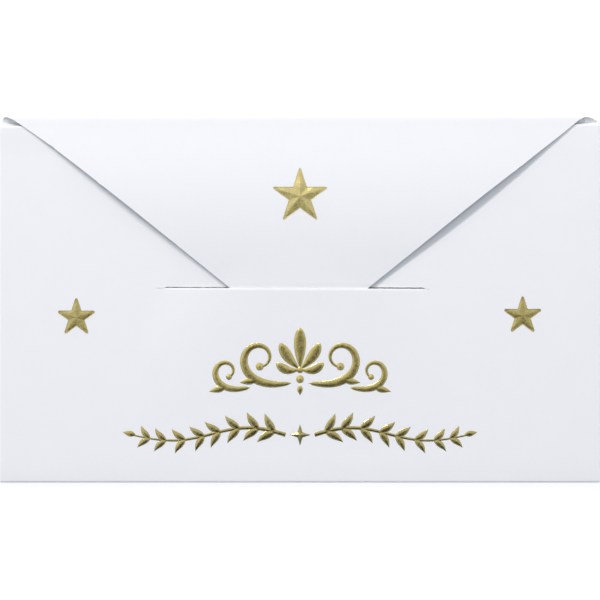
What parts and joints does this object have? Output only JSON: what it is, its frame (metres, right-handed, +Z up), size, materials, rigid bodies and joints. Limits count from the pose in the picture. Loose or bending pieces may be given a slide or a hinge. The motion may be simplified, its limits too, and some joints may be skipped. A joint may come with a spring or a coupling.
{
  "type": "money holder card",
  "caption": "Folded white card pocket for banknotes, with a V-shaped closure flap that tucks into a slit and gold foil ornaments.",
  "frame": {"origin": "middle of the back panel's outer face, which the card lies on", "axes": "+X across the card to the right as read, +Y towards the top crease, +Z up through the layers to the front"},
  "size_m": [0.18, 0.11, 0.0043],
  "materials": {
    "card": "matt coated white card, 0.4 mm",
    "glue": "dried adhesive",
    "gold_foil": "hot-stamped foil, aluminium under a gold lacquer, softly crinkled"
  },
  "bodies": {
    "card": {"back_panel": "card", "front_panel": "card", "bottom_crease": "card", "top_crease": "card", "left_side_crease": "card", "right_side_crease": "card", "left_glue_flap": "card", "right_glue_flap": "card", "left_glue_strip": "glue", "right_glue_strip": "glue", "left_star_foil": "gold_foil", "right_star_foil": "gold_foil", "palmette_foil": "gold_foil", "bead_foil": "gold_foil", "drop_foil": "gold_foil", "left_volute_foil": "gold_foil", "right_volute_foil": "gold_foil", "left_tendril_foil": "gold_foil", "right_tendril_foil": "gold_foil", "spark_foil": "gold_foil", "left_sprig_foil": "gold_foil", "right_sprig_foil": "gold_foil"},
    "flap": {"closure_flap": "card", "closure_tongue": "card", "flap_star_foil": "gold_foil"}
  },
  "joints": [
    {"name": "flap_hinge", "type": "hinge", "parent": "card", "child": "flap", "pos_m": [0, 0.05375, 0.00125], "axis": [-1, 0, 0], "range_deg": [0, 175], "deforming": ["closure_tongue", "top_crease"]}
  ]
}
